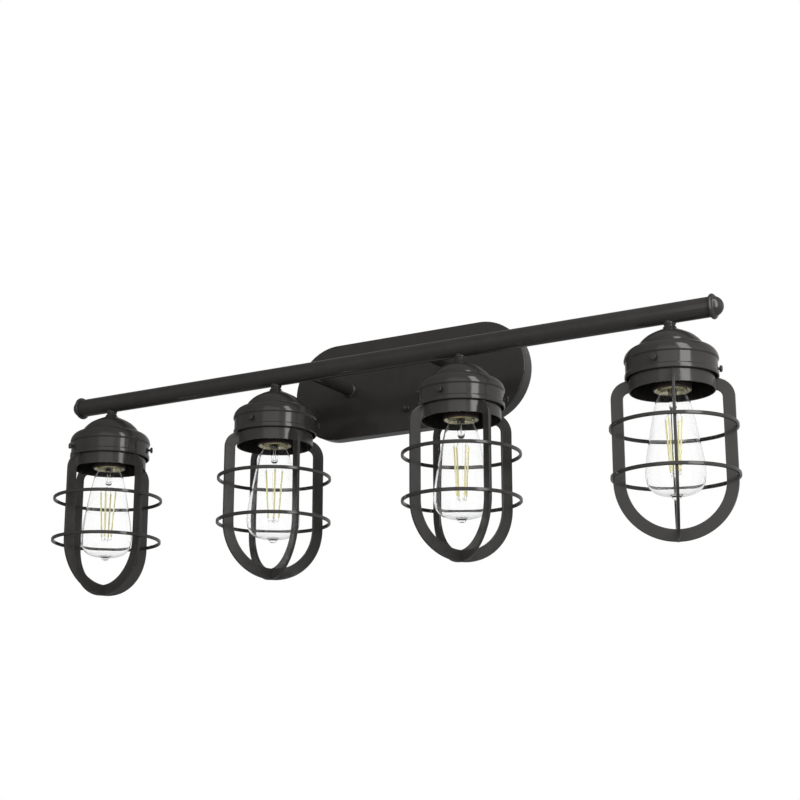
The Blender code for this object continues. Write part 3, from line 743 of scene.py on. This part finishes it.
STRANDS = 4
STRAND_TOP = (9.2 * MM, -110.0 * MM)      # distance from the lamp axis, and height
STRAND_LOW = (6.0 * MM, -164.0 * MM)
STRAND_RADIUS = 0.95 * MM
WIRE_RADIUS = 0.28 * MM
LEAD_RADIUS = 0.35 * MM
LEAD_HEIGHTS = (-74.0 * MM, -88.0 * MM, -97.2 * MM)
HUB_TOP = -104.0 * MM                     # where the upper and lower wires leave the rod
HUB_LOW = -167.0 * MM


def beside_axis(turn, reach, height):
    """Point at a turn round the lamp axis, a distance out from it."""
    return Vector((reach * cos(turn), reach * sin(turn), height))


def mount_mesh(n):
    """Flared glass mount, hollow below its press, and the solid rod that hangs from it."""
    outer = flowing(scaled([(9.5, -72.0), (6.6, -78.0), (4.6, -83.0), (4.2, -90.0), (4.1, -97.0),
                            (3.2, -100.4), (1.6, -101.4)]), 5)
    rod = flowing(scaled([(1.6, -101.4), (1.5, -110.0), (1.5, -166.0), (1.3, -169.0),
                          (0, -169.6)]), 4)
    inner = flowing(scaled([(0, -98.6), (2.0, -98.0), (3.3, -95.0), (3.4, -90.0), (3.8, -83.0),
                            (5.8, -77.6), (8.8, -72.0)]), 5)
    return lathe(f"bulb_mount_{n}", inner + outer + rod[1:], 40, sharp=60)


def make_filament(n):
    """Glass mount and rod, supply wires and four light strands inside the envelope."""
    body, place = f"bulb_{n}", at(LAMP_X[n])
    piece(f"bulb_mount_{n}", mount_mesh(n), GLASS, body, (), place)
    spin = 20.0 * n
    strands, wires = [], []
    for k in range(STRANDS):
        turn = radians(spin + 360 / STRANDS * k)
        top, low = beside_axis(turn, *STRAND_TOP), beside_axis(turn, *STRAND_LOW)
        strands.append(tube("strand", [top, (top + low) / 2, low], STRAND_RADIUS, 12))
        upper = [Vector((top.x * 0.2, top.y * 0.2, HUB_TOP)),
                 Vector((top.x * 0.7, top.y * 0.7, HUB_TOP - 1.0 * MM)),
                 top + Vector((0, 0, 1.2 * MM)), top]
        wires.append(tube("wire", flowing(upper, 4), WIRE_RADIUS, 8))
        lower = [low, low - Vector((0, 0, 2.0 * MM)),
                 Vector((low.x * 0.8, low.y * 0.8, HUB_LOW - 1.2 * MM)),
                 Vector((low.x * 0.28, low.y * 0.28, HUB_LOW))]
        wires.append(tube("wire", flowing(lower, 4), WIRE_RADIUS, 8))
    for reach in (-1.7 * MM, 1.7 * MM):
        lead = [beside_axis(radians(spin + 45.0), reach, z) for z in LEAD_HEIGHTS]
        wires.append(tube("lead", lead, LEAD_RADIUS, 8))
    name = f"bulb_strands_{n}"
    piece(name, grouped(name, strands), STRAND, body, (), place)
    name = f"bulb_wires_{n}"
    piece(name, grouped(name, wires), NICKEL, body, (), place)


# Cages --------------------------------------------------------------------------------------

BAIL_MID = 55.55 * MM         # centre line of the flat bar, from the lamp axis
BAIL_DEPTH = 12.5 * MM
BAIL_THICK = 3.0 * MM
BAIL_EDGE = 0.5 * MM
BAIL_BEND = 13.25 * MM        # centre-line radius of the shoulder bend
BAIL_END = 42.7 * MM          # where the flat bar meets the band
BAIL_TOP = -75.75 * MM
BAIL_BOTTOM_Z = -172.2 * MM   # centre of the bottom half circle
BAIL_LAP = 0.4 * MM           # how much lower the second bail's bottom is
BAND_OUTER, BAND_INNER = 43.2, 42.2
BAND_TOP, BAND_BOTTOM = -50.0, -82.2
HOOP_MID = 63.1 * MM
HOOP_HALF_WIDTH = 1.4 * MM
HOOP_HALF_HEIGHT = 1.9 * MM
HOOP_EDGE = 0.7 * MM
FLAT_SHARP = 12               # flat bars keep crisp faces


def bail(lap):
    """Flat bar bent on edge to a U whose ends turn in to the band."""
    corner = BAIL_MID - BAIL_BEND
    half = [(BAIL_END, BAIL_TOP)] + arc(corner, BAIL_TOP - BAIL_BEND, BAIL_BEND, 85, 0, 14)
    bottom = arc(0, BAIL_BOTTOM_Z - lap, BAIL_MID, 0, -180, 56)
    path = half + bottom + [(-a, b) for a, b in reversed(half)]
    section = rounded_section(BAIL_DEPTH / 2, BAIL_THICK / 2, BAIL_EDGE)
    stations = []
    for i, (a, b) in enumerate(path):
        a0, b0 = path[max(i - 1, 0)]
        a1, b1 = path[min(i + 1, len(path) - 1)]
        along = Vector((a1 - a0, 0, b1 - b0)).normalized()
        across = Vector((-along.z, 0, along.x))
        stations.append((Vector((a, 0, b)), across, Vector((0, 1, 0))))
    return swept("bail", stations, section, sharp=30)


def cage_frame():
    """The band and two crossed bails, welded into one."""
    outline = scaled([(BAND_OUTER, BAND_TOP, 0.2), (BAND_OUTER, BAND_BOTTOM, 0.3),
                      (BAND_INNER, BAND_BOTTOM, 0.3), (BAND_INNER, BAND_TOP, 0.2)])
    band = lathe("band", eased(outline, closed=True), 120, closed=True)
    second = bail(BAIL_LAP)
    second.transform(turned(pi / 2))
    mesh = combined("cage_frame", "UNION", [band, bail(0.0), second])
    mesh.shade_smooth()
    mesh.set_sharp_from_angle(angle=radians(FLAT_SHARP))
    return mesh


def make_cage(n, frame_mesh):
    """Copy of the welded frame, and the two hoops round it."""
    body = f"cage_{n}"
    place = at(LAMP_X[n]) @ turned(radians(CAGE_TURN[n] - 90.0))
    piece(f"cage_weldment_{n}", frame_mesh.copy(), CAGE_PAINT, body,
          [f"cage_frame_{n}"], place)
    section = rounded_section(HOOP_HALF_WIDTH, HOOP_HALF_HEIGHT, HOOP_EDGE)
    for key in ("upper", "lower"):
        node = f"cage_ring_{key}_{n}"
        z = middle(node).z
        outline = [(HOOP_MID + a, z + b) for a, b in section]
        hoop = lathe(f"cage_hoop_{key}_{n}", outline, 144, closed=True, sharp=FLAT_SHARP)
        piece(f"cage_hoop_{key}_{n}", hoop, CAGE_PAINT, body, [node], place)


# Studio -------------------------------------------------------------------------------------

FLOOR_Z = -1.30
DIM_SIDE = 0.20               # level of the room to the left and in front
BRIGHT_SIDE = 0.72            # to the right and behind
BELOW = 0.60                  # share of that level that comes from below
ABOVE = 0.45                  # and from high above
CAMERA_PLACE = (0.95984, -1.68885, -0.53265)
CAMERA_TILT = 0.259           # radians above level
CAMERA_TURN = 0.525           # radians to the left of straight at the wall
LENS = 77.6
SENSOR = 36.0


def make_floor():
    """Pale paper floor, well below the lamp."""
    bm = bmesh.new()
    bmesh.ops.create_grid(bm, x_segments=8, y_segments=8, size=6.0)
    floor = bpy.data.objects.new("studio_floor", finish_mesh(bm, "studio_floor", 30))
    bpy.context.scene.collection.objects.link(floor)
    floor.location.z = FLOOR_Z
    look = Look("floor_paper", (0.86, 0.86, 0.85), roughness=0.9)
    look.link("Base Color", look.ramp(look.noise(1.5, 2.0), [(0.3, (0.84, 0.84, 0.83)),
                                                             (0.7, (0.88, 0.88, 0.87))]))
    floor.data.materials.append(look.mat)
    floor.visible_diffuse = False
    floor.visible_glossy = False


def softbox(name, location, target, size, power):
    """Rectangular area light that the camera doesn't see."""
    data = bpy.data.lights.new(name, "AREA")
    data.shape = "RECTANGLE"
    data.size, data.size_y = size
    data.energy = power
    light = bpy.data.objects.new(name, data)
    bpy.context.scene.collection.objects.link(light)
    light.location = location
    aim = Vector(target) - Vector(location)
    light.rotation_euler = aim.to_track_quat("-Z", "Y").to_euler()
    light.visible_camera = False
    return light


def make_lights():
    """A tall narrow softbox beside the right-hand lamp, a wide one out in the room, and a soft fill."""
    softbox("side_strip", (0.79, -0.42, 0.42), (0.12, -0.11, 0.36), (0.26, 1.3), 4.6)
    softbox("room_panel", (1.05, -2.45, 0.9), (1.05, 0, 0.9), (2.4, 3.2), 11.5)
    fill = softbox("front_fill", (-0.4, -2.6, 0.3), (0, 0, 0), (2.0, 2.0), 30.0)
    fill.visible_glossy = False


def make_world():
    """White behind everything; the room that lights and reflects in the metal is dimmer."""
    world = bpy.data.worlds.new("studio")
    bpy.context.scene.world = world
    world.use_nodes = True
    nodes, links = world.node_tree.nodes, world.node_tree.links
    nodes.clear()
    coords = nodes.new("ShaderNodeTexCoord")

    def along(direction, start, end, low, high):
        """Level that changes from low to high along a direction."""
        dot = nodes.new("ShaderNodeVectorMath")
        dot.operation = "DOT_PRODUCT"
        dot.inputs[1].default_value = direction
        links.new(coords.outputs["Generated"], dot.inputs[0])
        level = nodes.new("ShaderNodeMapRange")
        level.interpolation_type = "SMOOTHSTEP"
        level.inputs["From Min"].default_value = start
        level.inputs["From Max"].default_value = end
        level.inputs["To Min"].default_value = low
        level.inputs["To Max"].default_value = high
        links.new(dot.outputs["Value"], level.inputs["Value"])
        return level.outputs["Result"]

    def combine(operation, first, second):
        node = nodes.new("ShaderNodeMath")
        node.operation = operation
        links.new(first, node.inputs[0])
        links.new(second, node.inputs[1])
        return node.outputs[0]

    across = along((0.85, 0.5, 0.0), -0.75, 0.6, DIM_SIDE, BRIGHT_SIDE)
    upward = along((0.0, 0.0, 1.0), -0.5, 0.1, BELOW, 1.0)
    overhead = along((0.0, 0.0, 1.0), 0.25, 0.8, 1.0, ABOVE)
    level = combine("MULTIPLY", combine("MULTIPLY", across, upward), overhead)
    room = nodes.new("ShaderNodeBackground")
    links.new(level, room.inputs["Strength"])
    white = nodes.new("ShaderNodeBackground")
    white.inputs["Color"].default_value = (1, 1, 1, 1)

    path = nodes.new("ShaderNodeLightPath")
    mix = nodes.new("ShaderNodeMixShader")
    output = nodes.new("ShaderNodeOutputWorld")
    seen = combine("MAXIMUM", path.outputs["Is Camera Ray"], path.outputs["Is Transmission Ray"])
    links.new(seen, mix.inputs["Fac"])
    links.new(room.outputs[0], mix.inputs[1])
    links.new(white.outputs[0], mix.inputs[2])
    links.new(mix.outputs[0], output.inputs["Surface"])


def make_camera():
    """Long lens, low and to the right, turned up at the lamp."""
    data = bpy.data.cameras.new("camera")
    data.sensor_width = SENSOR
    data.lens = LENS
    data.clip_start = 0.05
    camera = bpy.data.objects.new("camera", data)
    bpy.context.scene.collection.objects.link(camera)
    camera.location = CAMERA_PLACE
    camera.rotation_euler = (pi / 2 + CAMERA_TILT, 0.0, CAMERA_TURN)
    bpy.context.scene.camera = camera


def main():
    bpy.context.scene.view_settings.view_transform = "Standard"
    make_camera()
    make_world()
    make_lights()
    make_floor()
    make_canopy()
    make_strap()
    make_ground_screw()
    make_cap_nuts()
    make_wires()
    make_arms()
    make_bar()
    make_end_buttons()
    frame_mesh = cage_frame()
    for n in LAMPS:
        make_stem(n)
        make_cap(n)
        make_holder(n)
        make_thumbscrews(n)
        make_socket(n)
        make_bulb_base(n)
        make_envelope(n)
        make_filament(n)
        make_cage(n, frame_mesh)


main()
